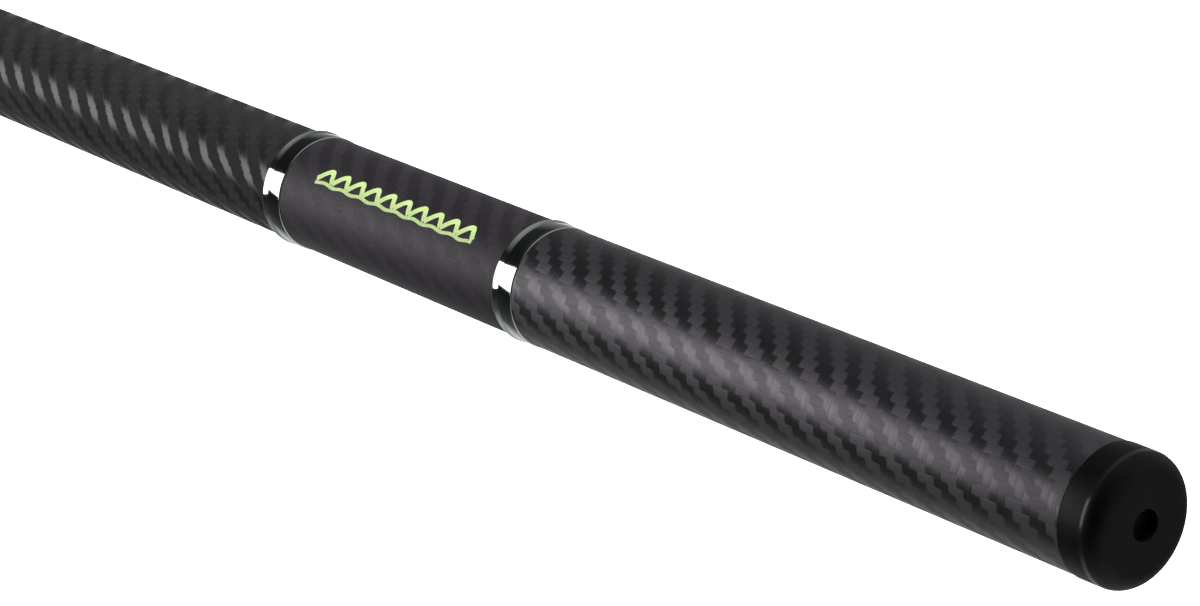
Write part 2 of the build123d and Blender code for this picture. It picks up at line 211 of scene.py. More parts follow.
def woven(
    name, warp, weft, steps, hair_share, relief, specular, anisotropy, weft_loss=0.0, gloss_tint=rgb(1.0)
):
    """2 by 2 twill round a tube that lies along X. warp runs along the tube and weft round it:
    each is (dark colour, light colour, roughness). steps says how square the diagonal's edges are,
    and weft_loss how much of the weft the warp takes over."""
    s = Shader(name)
    x, y, z = s.position()
    wander = s.noise(s.stretched(x, y, z, 60.0, 110.0), detail=3.0)
    wander = s.math("MULTIPLY", s.math("SUBTRACT", wander, 0.5), WANDER)
    turn = s.math("ARCTAN2", z, s.math("MULTIPLY", y, -1.0))
    along = s.math("ADD", s.math("DIVIDE", x, TOW), wander)
    around = s.math("ADD", s.math("MULTIPLY", turn, TOWS_AROUND / math.tau), wander)

    # Which tow is on top: in square steps, and as a smooth diagonal wale
    column, row = s.math("FLOOR", along), s.math("FLOOR", around)
    in_warp = s.math("FLOORED_MODULO", s.math("ADD", along, row), TWILL)
    in_weft = s.math("FLOORED_MODULO", s.math("ADD", around, column), TWILL)
    stepped = s.math("LESS_THAN", in_warp, TWILL / 2)
    diagonal = s.math("ADD", s.math("ADD", along, around), -0.5)
    wale = s.math("SINE", s.math("MULTIPLY", diagonal, math.tau / TWILL))
    on_top = s.math("ADD", s.math("MULTIPLY", wale, WALE_HEIGHT), s.math("MULTIPLY", stepped, steps))
    low, high = steps / 2 - WALE_EDGE - weft_loss, steps / 2 + WALE_EDGE - weft_loss
    warp_up = s.span(on_top, low, high, smooth=True)

    def lump(place, rate):
        return s.math("MAXIMUM", s.math("SINE", s.math("MULTIPLY", place, rate)), 0.0)

    # Each tow's height: round across, and crowned along the length that shows
    crown = s.mix(stepped, lump(in_weft, -math.pi / 2), lump(in_warp, math.pi / 2))
    across = s.mix(stepped, lump(s.math("FRACT", along), math.pi), lump(s.math("FRACT", around), math.pi))
    crown = s.math("ADD", s.math("MULTIPLY", crown, CROWN_RISE), CROWN_FOOT)
    height = s.math("MULTIPLY", s.math("SQRT", across), crown)

    # Hair lines run along each tow
    warp_place = s.join(s.math("MULTIPLY", along, COARSE_HAIR), s.math("MULTIPLY", around, FINE_HAIR), 0.0)
    weft_place = s.join(s.math("MULTIPLY", along, FINE_HAIR), s.math("MULTIPLY", around, COARSE_HAIR), 3.7)
    warp_hair, weft_hair = s.noise(warp_place, detail=3.0), s.noise(weft_place, detail=3.0)
    hair = s.spread(s.mix(stepped, weft_hair, warp_hair))
    patch = s.spread(s.noise(s.join(x, y, z), 70.0, 3.0))
    shade = s.math("ADD", s.math("MULTIPLY", hair, HAIR_SHADE), s.math("MULTIPLY", patch, PATCH_SHADE))

    hair_gloss = s.span(hair, 0.0, 1.0, HAIR_GLOSS, -HAIR_GLOSS)
    s.set(
        Base_Color=s.blend(warp_up, s.blend(shade, weft[0], weft[1]), s.blend(shade, warp[0], warp[1])),
        Roughness=s.math("ADD", s.mix(warp_up, weft[2], warp[2]), hair_gloss),
        Anisotropic=anisotropy,
        Normal=s.bump(s.math("ADD", height, s.math("MULTIPLY", hair, hair_share)), relief),
    )
    s.surface.inputs["Specular IOR Level"].default_value = specular
    s.surface.inputs["Specular Tint"].default_value = gloss_tint
    round_the_tube = s.node("ShaderNodeVectorMath", operation="CROSS_PRODUCT")
    s.feed(round_the_tube.inputs[0], s.node("ShaderNodeNewGeometry").outputs["Normal"])
    s.feed(round_the_tube.inputs[1], POLE_AXIS)
    s.set(Tangent=s.mix_vector(stepped, POLE_AXIS, round_the_tube.outputs[0]))
    return s.material


def shaft_carbon():
    return woven(
        "shaft_carbon",
        warp=(rgb(0.0115, 0.0100, 0.0103), rgb(0.025, 0.0223, 0.023), 0.85),
        weft=(rgb(0.015, 0.0138, 0.0142), rgb(0.031, 0.029, 0.0295), 0.31),
        steps=0.2, hair_share=0.3, relief=0.022 * MM, specular=0.42, anisotropy=0.5, weft_loss=0.3,
    )


def grip_carbon():
    return woven(
        "grip_carbon",
        warp=(rgb(0.0105, 0.0097, 0.0112), rgb(0.022, 0.0202, 0.0232), 0.53),
        weft=(rgb(0.004, 0.0038, 0.0045), rgb(0.010, 0.0095, 0.011), 0.42),
        steps=0.5, hair_share=0.45, relief=0.032 * MM, specular=1.0, anisotropy=0.4,
        gloss_tint=rgb(1.0, 0.93, 1.0),
    )


def soft_touch():
    return woven(
        "soft_touch",
        warp=(rgb(0.0155, 0.0135, 0.0168), rgb(0.026, 0.0229, 0.0284), 0.64),
        weft=(rgb(0.0085, 0.0076, 0.0094), rgb(0.016, 0.0143, 0.0175), 0.60),
        steps=0.5, hair_share=0.5, relief=0.03 * MM, specular=0.68, anisotropy=0.0,
        gloss_tint=rgb(1.0, 0.91, 1.0),
    )


# ---------------------------------------------------------------- materials: pole fittings
def ring_chrome():
    s = Shader("ring_chrome")
    x, y, z = s.position()
    turned = s.noise(s.join(s.math("MULTIPLY", x, 9000.0), 0.0, 0.0), 1.0, 2.0)
    s.set(
        Base_Color=s.blend(s.spread(turned), rgb(0.50, 0.56, 0.53), rgb(0.58, 0.63, 0.60)),
        Metallic=1.0,
        Roughness=s.spread(turned, 0.05, 0.09),
    )
    return s.material


CAP_SHOULDER = 97.1 * MM
SHINE_REACH, SHINE_CORE = 0.9 * MM, 0.2 * MM


def cap_rubber():
    """Matt black rubber, rubbed shiny where the cap's round edge begins."""
    s = Shader("cap_rubber")
    x, y, z = s.position()
    place = s.join(x, y, z)
    dust = s.noise(place, 160.0, 5.0)
    grain = s.noise(place, 3800.0, 3.0)
    from_shoulder = s.math("ABSOLUTE", s.math("SUBTRACT", x, CAP_SHOULDER))
    rubbed = s.span(from_shoulder, SHINE_REACH, SHINE_CORE, 0.0, 0.8, smooth=True)
    s.set(
        Base_Color=s.blend(
            s.span(dust, 0.35, 0.7), rgb(0.0018, 0.0017, 0.0018), rgb(0.0040, 0.0038, 0.0041)
        ),
        Roughness=s.spread(dust, 0.48, 0.56),
        Normal=s.bump(grain, 0.03 * MM, 0.5),
        Coat_Weight=s.math("MULTIPLY", rubbed, s.spread(dust, 0.7, 1.0)),
    )
    s.surface.inputs["Specular IOR Level"].default_value = 0.16
    s.surface.inputs["Coat Roughness"].default_value = 0.2
    return s.material


def moulded_plastic(name, dark, light):
    s = Shader(name)
    x, y, z = s.position()
    place = s.join(x, y, z)
    s.set(
        Base_Color=s.blend(s.noise(place, 120.0, 4.0), dark, light),
        Roughness=s.spread(s.noise(place, 400.0, 3.0), 0.38, 0.5),
        Normal=s.bump(s.noise(place, 4200.0, 2.0), 0.02 * MM, 0.6),
    )
    return s.material


def label_ink():
    s = Shader("label_ink")
    x, y, z = s.position()
    fleck = s.noise(s.join(x, y, z), 2600.0, 3.0)
    s.set(
        Base_Color=s.blend(s.span(fleck, 0.35, 0.6), rgb(0.55, 0.88, 0.24), rgb(0.85, 1.0, 0.50)),
        Roughness=s.spread(fleck, 0.4, 0.55),
    )
    return s.material


# ---------------------------------------------------------------- the head's own frame
TILT = math.radians(40.0)
TO_MOUTH = Vector((-math.cos(TILT), 0.0, math.sin(TILT)))
HEAD_UP = Vector((math.sin(TILT), 0.0, math.cos(TILT)))
HEAD_LEFT = Vector((0.0, -1.0, 0.0))
SEAT_X = -991.6 * MM
SHEET = 2.0 * MM
SEAT_FROM_BACK = 70.0
HEAD_ORIGIN = Vector((SEAT_X, 0.0, 0.0)) - TO_MOUTH * SEAT_FROM_BACK * MM - HEAD_UP * SHEET


def head_point(along, left, height):
    """A point from millimetres along the basket, to its left and over its deck."""
    return HEAD_ORIGIN + (TO_MOUTH * along + HEAD_LEFT * left + HEAD_UP * height) * MM


HALF_WIDTH, SIDE_DEPTH, DEPTH, HALF_FLOOR = 88.0, 78.0, 130.0, 40.0
SIDE_TOP_LENGTH, LIP_START = 108.0, 226.0
# Left and up, square to the bilge sheet from (HALF_WIDTH, -SIDE_DEPTH) to (HALF_FLOOR, -DEPTH)
BILGE_OUT = (0.7348, -0.6782)


# ---------------------------------------------------------------- materials: stainless steel
def head_place(s):
    """The point's place in the head's frame, in metres: along, left and height."""
    x, y, z = s.position()
    x = s.math("SUBTRACT", x, HEAD_ORIGIN.x)
    z = s.math("SUBTRACT", z, HEAD_ORIGIN.z)

    def against(direction):
        """How far the point lies along a direction that has no y."""
        return s.math("ADD", s.math("MULTIPLY", x, direction.x), s.math("MULTIPLY", z, direction.z))

    return against(TO_MOUTH), s.math("MULTIPLY", y, -1.0), against(HEAD_UP)


def near_weld(s, along, left, height):
    """Distance in metres to the nearest weld: round the back sheet, or on a corner between sheets."""
    left = s.math("ABSOLUTE", left)

    def hypotenuse(a, b):
        return s.math("SQRT", s.math("ADD", s.math("MULTIPLY", a, a), s.math("MULTIPLY", b, b)))

    beside = s.math("SUBTRACT", left, HALF_WIDTH * MM)
    under = s.math("ADD", height, SIDE_DEPTH * MM)
    bilge = s.math("ADD", s.math("MULTIPLY", beside, BILGE_OUT[0]), s.math("MULTIPLY", under, BILGE_OUT[1]))
    floor_sheet = s.math("ADD", height, DEPTH * MM)
    deck_sheet = s.math("SUBTRACT", height, SHEET / 2)
    outline = s.math("ABSOLUTE", beside)
    for wall in (bilge, floor_sheet, deck_sheet):
        outline = s.math("MINIMUM", outline, s.math("ABSOLUTE", wall))
    nearest = hypotenuse(along, outline)
    for edge_left, edge_height in ((HALF_WIDTH, 0.0), (HALF_WIDTH, -SIDE_DEPTH), (HALF_FLOOR, -DEPTH)):
        across = s.math("SUBTRACT", left, edge_left * MM)
        over = s.math("SUBTRACT", height, edge_height * MM)
        nearest = s.math("MINIMUM", nearest, hypotenuse(across, over))
    return nearest


STEEL = rgb(0.60, 0.585, 0.56)
STEEL_DARK = rgb(0.42, 0.41, 0.395)
STRAW = rgb(0.52, 0.36, 0.17)
BLUE_TINT = rgb(0.20, 0.23, 0.34)


TINT_BANDS = [(0.0, BLUE_TINT), (0.28, STRAW), (0.62, STEEL)]
TINT_REACH = 14 * MM
TINT_FULL, TINT_END, TINT_SHARE = 2 * MM, 13 * MM, 0.85
TINT_RAGGED = 6 * MM


def sheet_steel():
    """Rolled sheet: lines along the head, clouds, scuffs, and heat tint beside the welds."""
    s = Shader("sheet_steel")
    along, left, height = head_place(s)
    rolled = s.noise(s.stretched(along, left, height, 25.0, 1500.0), 1.0, 4.0, 0.6)
    cloud = s.noise(s.join(along, left, height), 22.0, 5.0, 0.6)
    scuff = s.noise(s.stretched(along, left, height, 900.0, 60.0), 1.0, 5.0, 0.7)
    scuff = s.span(scuff, 0.62, 0.72)
    ragged = s.math("MULTIPLY", s.math("SUBTRACT", cloud, 0.5), TINT_RAGGED)
    away = s.math("ADD", near_weld(s, along, left, height), ragged)
    tint = s.ramp(s.span(away, 0.0, TINT_REACH), TINT_BANDS)
    share = s.span(away, TINT_END, TINT_FULL, 0.0, TINT_SHARE, smooth=True)
    s.set(
        Base_Color=s.blend(share, s.blend(s.spread(cloud), STEEL_DARK, STEEL), tint),
        Metallic=1.0,
        Roughness=s.math("ADD", s.spread(rolled, 0.27, 0.37), s.math("MULTIPLY", scuff, 0.12)),
        Normal=s.bump(s.math("ADD", rolled, s.math("MULTIPLY", scuff, 0.5)), 0.012 * MM, 0.6),
    )
    return s.material


def turned_steel(name, colour, dark, roughness):
    """Drawn or turned bar and tube: fine lines round it and soft clouds."""
    s = Shader(name)
    x, y, z = s.position()
    lines = s.noise(s.stretched(x, y, z, 2600.0, 60.0), 1.0, 3.0, 0.6)
    cloud = s.noise(s.join(x, y, z), 35.0, 4.0)
    s.set(
        Base_Color=s.blend(s.spread(cloud), dark, colour),
        Metallic=1.0,
        Roughness=s.spread(lines, roughness - 0.05, roughness + 0.06),
        Normal=s.bump(lines, 0.01 * MM, 0.6),
    )
    return s.material


WELD_BANDS = [(0.34, BLUE_TINT), (0.46, STRAW), (0.58, rgb(0.55, 0.52, 0.47)), (0.7, STEEL)]


def weld_steel():
    s = Shader("weld_steel")
    x, y, z = s.position()
    place = s.join(x, y, z)
    band = s.noise(place, 55.0, 3.0)
    s.set(
        Base_Color=s.ramp(band, WELD_BANDS),
        Metallic=1.0,
        Roughness=s.spread(s.noise(place, 900.0, 3.0), 0.24, 0.4),
    )
    return s.material


MATERIALS = {
    "shaft_carbon": shaft_carbon(),
    "grip_carbon": grip_carbon(),
    "soft_touch": soft_touch(),
    "ring_chrome": ring_chrome(),
    "cap_rubber": cap_rubber(),
    "liner_plastic": moulded_plastic("liner_plastic", rgb(0.012), rgb(0.020)),
    "core_plastic": moulded_plastic("core_plastic", rgb(0.30, 0.29, 0.26), rgb(0.42, 0.41, 0.37)),
    "label_ink": label_ink(),
    "sheet_steel": sheet_steel(),
    "tube_steel": turned_steel("tube_steel", STEEL, STEEL_DARK, 0.26),
    "bar_steel": turned_steel("bar_steel", rgb(0.64, 0.63, 0.60), STEEL_DARK, 0.2),
    "fastener_steel": turned_steel("fastener_steel", rgb(0.60, 0.60, 0.61), rgb(0.45, 0.45, 0.46), 0.24),
    "weld_steel": weld_steel(),
}

SLOT_NODES = {
    "liner_plastic": ["socket_liner"],
    "core_plastic": ["pole_core"],
    "tube_steel": ["handle_socket"],
    "bar_steel": ["mouth_bar", "brace_left", "brace_right"],
    "fastener_steel": ["socket_bosses", "clamp_washers", "clamp_bolts", "clamp_nuts"],
    "sheet_steel": [
        "basket_deck", "basket_back", "basket_floor", "basket_side_left", "basket_side_right",
        "basket_bilge_left", "basket_bilge_right", "cutting_lip", "spine_gusset", "foot_plate",
        "foot_gusset_left", "foot_gusset_right",
    ],
}
for slot_name, node_names in SLOT_NODES.items():
    for node_name in node_names:
        for material_slot in NODES[node_name].material_slots:
            material_slot.material = MATERIALS[slot_name]


# Worn edges on the plain steel blocks, as bevel widths
WORN_EDGES = {
    "clamp_bolts": 0.45,
    "clamp_nuts": 0.45,
    "clamp_washers": 0.2,
    "foot_plate": 0.5,
    "spine_gusset": 0.4,
    "foot_gusset_left": 0.4,
    "foot_gusset_right": 0.4,
    "handle_socket": 0.35,
}
WORN_ANGLE = math.radians(40.0)
for node_name, width in WORN_EDGES.items():
    worn = NODES[node_name].modifiers.new("worn_edges", "BEVEL")
    worn.width = width * MM
    worn.segments = 2
    worn.limit_method = "ANGLE"
    worn.angle_limit = WORN_ANGLE


# ---------------------------------------------------------------- mesh helpers
SHARP = math.radians(35.0)
LATHE_SEGMENTS = 192


def add_piece(name, points, faces, slot, body=SCOOP, stands_for=(), smooth=True):
    """A mesh of points in metres, riding on a body and standing in for the nodes named."""
    mesh = bpy.data.meshes.new(name)
    mesh.from_pydata([tuple(p) for p in points], [], faces)
    mesh.validate()
    mesh.materials.append(MATERIALS[slot])
    if smooth:
        mesh.shade_smooth()
        mesh.set_sharp_from_angle(angle=SHARP)
    piece = bpy.data.objects.new(name, mesh)
    bpy.context.scene.collection.objects.link(piece)
    if stands_for:
        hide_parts(*stands_for)
    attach(piece, body)
    return piece


def lathe(name, profile, slot, closed=True, **options):
    """Spins (x, radius) points round the pole's axis. Points run so that the outside faces out."""
    points, faces, rings = [], [], []
    for x, radius in profile:
        if radius == 0.0:
            rings.append([len(points)])
            points.append((x * MM, 0.0, 0.0))
            continue
        rings.append(range(len(points), len(points) + LATHE_SEGMENTS))
        for step in range(LATHE_SEGMENTS):
            angle = math.tau * step / LATHE_SEGMENTS
            points.append((x * MM, radius * MM * math.cos(angle), radius * MM * math.sin(angle)))
    for first, second in zip(rings, rings[1:] + rings[:1] if closed else rings[1:]):
        for step in range(LATHE_SEGMENTS):
            following = (step + 1) % LATHE_SEGMENTS
            if len(first) == 1:
                faces.append((first[0], second[following], second[step]))
            elif len(second) == 1:
                faces.append((first[step], first[following], second[0]))
            else:
                faces.append((first[step], first[following], second[following], second[step]))
    return add_piece(name, points, faces, slot, **options)


def arc(centre_x, centre_radius, size, start, end, steps=8):
    """Profile points round a centre. Degrees are from +X towards larger radius."""
    made = []
    for step in range(steps + 1):
        angle = math.radians(start + (end - start) * step / steps)
        made.append((centre_x + size * math.cos(angle), centre_radius + size * math.sin(angle)))
    return made


def sleeve(front, rear, outer, inner, edge=0.3):
    """Profile of a plain tube with softened outer edges, from its head's end to its butt's end."""
    return [
        (front, inner),
        *arc(front + edge, outer - edge, edge, 180, 90, 4),
        *arc(rear - edge, outer - edge, edge, 90, 0, 4),
        (rear, inner),
    ]


# ---------------------------------------------------------------- pole
GRIP_R, LABEL_R, SHAFT_R, BORE_R = 15.0, 14.9, 14.5, 12.7
BAND_R, BEAD_R, CAP_R = 15.2, 15.5, 15.2
CAP_FACE, BUTT_END = 101.0, 90.4
GRIP_FRONT, LABEL_REAR = -90.4, -97.8
LABEL_FRONT, POLE_END = -187.2, -959.6

for name, profile, slot, node in (
    ("pole_tube_shell", sleeve(POLE_END, BUTT_END, SHAFT_R, BORE_R, 0.5), "shaft_carbon", "pole_tube"),
    ("grip_sleeve_shell", sleeve(GRIP_FRONT, BUTT_END, GRIP_R, SHAFT_R, 0.2), "grip_carbon", "grip_sleeve"),
    (
        "label_sleeve_shell",
        sleeve(LABEL_FRONT, LABEL_REAR, LABEL_R, SHAFT_R, 0.2),
        "soft_touch",
        "label_sleeve",
    ),
):
    lathe(name, profile, slot, stands_for=[node])

RING_LENGTH, LIP_SLOPE, LIP_FACE = 7.4, 0.9, 1.3
RING_EDGE, LIP_GROOVE = 0.25, 0.12


def trim_ring(name, rear, node):
    """A polished band with a raised lip at its head's side, whose slanted face looks towards the butt."""
    front = rear - RING_LENGTH
    crest = front + LIP_SLOPE
    foot = crest + LIP_FACE
    edge = RING_EDGE
    band_start = foot + LIP_GROOVE
    profile = [
        (front, SHAFT_R),
        (front, BAND_R - 0.1),
        (front + 0.15, BAND_R + 0.05),
        (crest - 0.25, BEAD_R - 0.04),
        (crest - 0.08, BEAD_R),
        (crest + 0.04, BEAD_R - 0.03),
        (foot, BAND_R - 0.2),
        (band_start, BAND_R - 0.2),
        *arc(band_start + edge, BAND_R - edge, edge, 180, 90, 5)[1:],
        *arc(rear - edge, BAND_R - edge, edge, 90, 0, 5),
        (rear, SHAFT_R),
    ]
    lathe(name, profile, "ring_chrome", stands_for=[node])


trim_ring("grip_ring_trim", GRIP_FRONT, "grip_ring")
trim_ring("shaft_ring_trim", LABEL_FRONT, "shaft_ring")

CAP_EDGE, CAP_LIP_EDGE = 4.4, 0.3
RECESS_R, RECESS_DEPTH, RECESS_EDGE = 3.6, 3.0, 0.4
SPIGOT_R, SPIGOT_LENGTH, SPIGOT_CHAMFER = 12.65, 22.0, 1.5
SPIGOT_END = BUTT_END - SPIGOT_LENGTH
RECESS_FLOOR = CAP_FACE - RECESS_DEPTH
lathe(
    "butt_cap_rubber",
    [
        (SPIGOT_END, 0.0),
        (SPIGOT_END, SPIGOT_R - SPIGOT_CHAMFER),
        (SPIGOT_END + SPIGOT_CHAMFER, SPIGOT_R),
        (BUTT_END, SPIGOT_R),
        *arc(BUTT_END + CAP_LIP_EDGE, CAP_R - CAP_LIP_EDGE, CAP_LIP_EDGE, 180, 90, 4),
        *arc(CAP_FACE - CAP_EDGE, CAP_R - CAP_EDGE, CAP_EDGE, 90, 0, 20),
        *arc(CAP_FACE - CAP_LIP_EDGE, RECESS_R + CAP_LIP_EDGE, CAP_LIP_EDGE, 0, -90, 5),
        (RECESS_FLOOR + RECESS_EDGE, RECESS_R),
        *arc(RECESS_FLOOR + RECESS_EDGE, RECESS_R - RECESS_EDGE, RECESS_EDGE, 90, 180, 4)[1:],
        (RECESS_FLOOR, 0.0),
    ],
    "cap_rubber",
    closed=False,
    body=CAP,
    stands_for=["butt_cap"],
)


# ---------------------------------------------------------------- generic mark on the label sleeve
MARK_START, MARK_OUTER, MARK_INNER = -175.0, LABEL_R + 0.03, LABEL_R - 0.02
MARK_FACING = math.atan2(0.485, 0.874)
CRESTS, CREST_PITCH, CREST_WEIGHT, CREST_STEPS = 10, 6.5, 1.5, 18
CREST_FOOT, CREST_RISE, CREST_LEAN = 2.9, 3.0, 0.9
UNDERLINE, UNDERLINE_SWAY, UNDERLINE_TURN = 2.1, 0.25, 0.9
UNDERLINE_WEIGHT, UNDERLINE_STEPS = 0.9, 60


def ribbon(points, faces, line, width):
    """Adds a thin strip on the sleeve along a line of (x, distance round the sleeve)."""
    first = len(points)
    for index, (x, round_place) in enumerate(line):
        before, after = line[max(index - 1, 0)], line[min(index + 1, len(line) - 1)]
        run, rise = after[0] - before[0], after[1] - before[1]
        length = math.hypot(run, rise) or 1.0
        for side in (-1, 1):
            edge_x = x - rise / length * side * width / 2
            edge_round = round_place + run / length * side * width / 2
            for radius in (MARK_INNER, MARK_OUTER):
                angle = MARK_FACING + edge_round / LABEL_R
                points.append(Vector((edge_x, -radius * math.cos(angle), radius * math.sin(angle))) * MM)
    for index in range(len(line) - 1):
        a, b = first + 4 * index, first + 4 * index + 4
        for i, j in ((1, 3), (3, 2), (2, 0), (0, 1)):
            faces.append((a + i, a + j, b + j, b + i))
    last = first + 4 * (len(line) - 1)
    faces.append((first, first + 1, first + 3, first + 2))
    faces.append((last, last + 2, last + 3, last + 1))


def wave_mark():
    """A row of plain wave crests over a line, raised a hair over the sleeve."""
    points, faces = [], []
    for crest in range(CRESTS):
        line = []
        for step in range(CREST_STEPS + 1):
            share = step / CREST_STEPS
            swell = math.sin(math.pi * share)
            x = MARK_START + (crest + share) * CREST_PITCH + CREST_LEAN * swell**2
            line.append((x, CREST_FOOT + CREST_RISE * swell**1.5))
        ribbon(points, faces, line, CREST_WEIGHT)
    line = []
    for step in range(UNDERLINE_STEPS + 1):
        x = MARK_START + CRESTS * CREST_PITCH * step / UNDERLINE_STEPS
        line.append((x, UNDERLINE - UNDERLINE_SWAY * math.cos(step * UNDERLINE_TURN)))
    ribbon(points, faces, line, UNDERLINE_WEIGHT)
    add_piece("label_wave_mark", points, faces, "label_ink", smooth=False)


wave_mark()


# ---------------------------------------------------------------- weld beads
RIPPLE = 1.5
RIPPLE_LOW, RIPPLE_RISE = 0.90, 0.12
BEAD_STEP = 0.3
BEAD_SIDES = 10
BEAD_HEIGHT, BEAD_SPREAD, BEAD_LAG = 0.8, 1.25, 0.55


def bead(points, faces, path, size):
    """Adds a rippled half-buried weld along a path of (point, outward direction), all in metres."""
    size *= MM
    lengths = [0.0]
    for (a, _), (b, _) in zip(path, path[1:]):
        lengths.append(lengths[-1] + (b - a).length)
    total = lengths[-1]
    count = max(6, int(total / (BEAD_STEP * MM)))
    first, piece = len(points), 0
    for step in range(count + 1):
        run = total * step / count
        while piece < len(path) - 2 and run > lengths[piece + 1]:
            piece += 1
        (a, out_a), (b, out_b) = path[piece], path[piece + 1]
        share = (run - lengths[piece]) / max(lengths[piece + 1] - lengths[piece], 1e-9)
        centre, forward = a.lerp(b, share), (b - a).normalized()
        out = out_a.lerp(out_b, share)
        out = (out - forward * out.dot(forward)).normalized()
        side = forward.cross(out)
        ripple = (run / (RIPPLE * MM)) % 1.0
        taper = min(1.0, math.sqrt(max(min(run, total - run), 0.0) / size + 0.05))
        radius = size * taper * (RIPPLE_LOW + RIPPLE_RISE * (1.0 - ripple) ** 1.5)
        for corner in range(BEAD_SIDES):
            angle = math.tau * corner / BEAD_SIDES
            lag = -BEAD_LAG * size * taper * (1.0 - max(math.cos(angle), 0.0))
            spread = BEAD_SPREAD * math.sin(angle) * radius
            rise = math.cos(angle) * radius * BEAD_HEIGHT
            points.append(centre + out * rise + side * spread + forward * lag)
    for step in range(count):
        for corner in range(BEAD_SIDES):
            following = (corner + 1) % BEAD_SIDES
            a, b = first + step * BEAD_SIDES, first + (step + 1) * BEAD_SIDES
            faces.append((a + corner, b + corner, b + following, a + following))
    faces.append(tuple(range(first, first + BEAD_SIDES)))
    last = first + count * BEAD_SIDES
    faces.append(tuple(range(last + BEAD_SIDES - 1, last - 1, -1)))


def weld_piece(name, seams):
    """One piece from several seams of (path, bead size)."""
    points, faces = [], []
    for path, size in seams:
        bead(points, faces, path, size)
    return add_piece(name, points, faces, "weld_steel")


def point(x, y, z):
    return Vector((x, y, z)) * MM


def head_way(along, left, height):
    """A direction in the head's frame."""
    return (TO_MOUTH * along + HEAD_LEFT * left + HEAD_UP * height).normalized()


def straight(start, end, out):
    return [(start, out), (end, out)]


CORNER_LIFT, BACK_LIFT = 0.9, 0.5


def along_corner(left, height, out, end):
    """A seam along the corner between two sheets, lifted outwards."""
    way = head_way(0.0, *out)
    lift = way * CORNER_LIFT * MM
    return straight(head_point(1.0, left, height) + lift, head_point(end, left, height) + lift, way)


def basket_welds():
    """The corners along both sides, and the outline of the back sheet."""
    seams = []
    for side in (-1, 1):
        for left, height, out, end in (
            (HALF_WIDTH, 0.0, (1.0, 1.0), SIDE_TOP_LENGTH - 4.0),
            (HALF_WIDTH, -SIDE_DEPTH, (0.931, -0.364), LIP_START),
            (HALF_FLOOR, -DEPTH, (0.401, -0.916), LIP_START),
        ):
            seams.append((along_corner(side * left, height, (side * out[0], out[1]), end), 1.5))
    outline = [
        (-HALF_WIDTH, 0.0), (-HALF_WIDTH, -SIDE_DEPTH), (-HALF_FLOOR, -DEPTH),
        (HALF_FLOOR, -DEPTH), (HALF_WIDTH, -SIDE_DEPTH), (HALF_WIDTH, 0.0), (-HALF_WIDTH, 0.0),
    ]
    for (left_a, up_a), (left_b, up_b) in zip(outline, outline[1:]):
        run = Vector((left_b - left_a, up_b - up_a)).normalized()
        way = head_way(-1.0, run.y, -run.x)
        lift = way * BACK_LIFT * MM
        start, end = head_point(0, left_a, up_a) + lift, head_point(0, left_b, up_b) + lift
        seams.append((straight(start, end, way), 1.3))
    return seams


SOCKET_R = 17.5


def round_path(place_at, steps=72):
    """A closed path from a function that gives (point, outward direction) for an angle."""
    return [place_at(math.tau * step / steps) for step in range(steps + 1)]


def socket_seat_weld():
    """The socket's slanted end on the deck."""

    def place_at(angle):
        round_out = Vector((0.0, -math.cos(angle), math.sin(angle)))
        spot = round_out * SOCKET_R * MM
        spot.x = HEAD_ORIGIN.x + (SHEET - (spot.z - HEAD_ORIGIN.z) * HEAD_UP.z) / HEAD_UP.x
        flat_out = (round_out - HEAD_UP * round_out.dot(HEAD_UP)).normalized()
        way = (flat_out + HEAD_UP).normalized()
        return spot + way * 0.3 * MM, way

    return [(round_path(place_at), 2.1)]


BOSS_PLACES, BOSS_R = (-925.6, -865.6), 8.0


def boss_welds():
    """Both ends of each clamp boss, where it comes out of the socket."""
    seams = []
    for centre in BOSS_PLACES:
        for side in (-1.0, 1.0):

            def place_at(angle):
                x, z = BOSS_R * math.cos(angle), BOSS_R * math.sin(angle)
                y = math.sqrt(SOCKET_R**2 - z**2)
                way = Vector((math.cos(angle), side * y / SOCKET_R, math.sin(angle) + z / SOCKET_R))
                way.normalize()
                return point(centre + x, side * y, z) + way * 0.2 * MM, way

            seams.append((round_path(place_at, 48), 1.1))
    return seams


GUSSET_HALF = 2.0
GUSSET_REAR, GUSSET_FRONT = -873.0, -969.0
GUSSET_ON_DECK = (2.0, 41.0)


def gusset_welds():
    """The spine gusset under the socket and on the deck."""
    seams = []
    for side in (-1.0, 1.0):
        y = side * GUSSET_HALF
        under = -math.sqrt(SOCKET_R**2 - y**2)
        down = Vector((0.0, side, -0.8)).normalized()
        up = (Vector((0.0, side, 0.0)) + HEAD_UP).normalized()
        start, end = (point(x, y, under) for x in (GUSSET_REAR, GUSSET_FRONT))
        seams.append((straight(start, end, down), 1.5))
        start, end = (head_point(along, -y, SHEET / MM) for along in GUSSET_ON_DECK)
        seams.append((straight(start, end, up), 1.5))
    return seams


BAR_ALONG, BAR_R = 113.34, 3.5
BRACE_R, BRACE_END = 3.0, 4.0
BRACE_FOOT, BRACE_TOP = (BAR_ALONG, 62.0, 4.5), (-893.6, 0.0, 11.0)


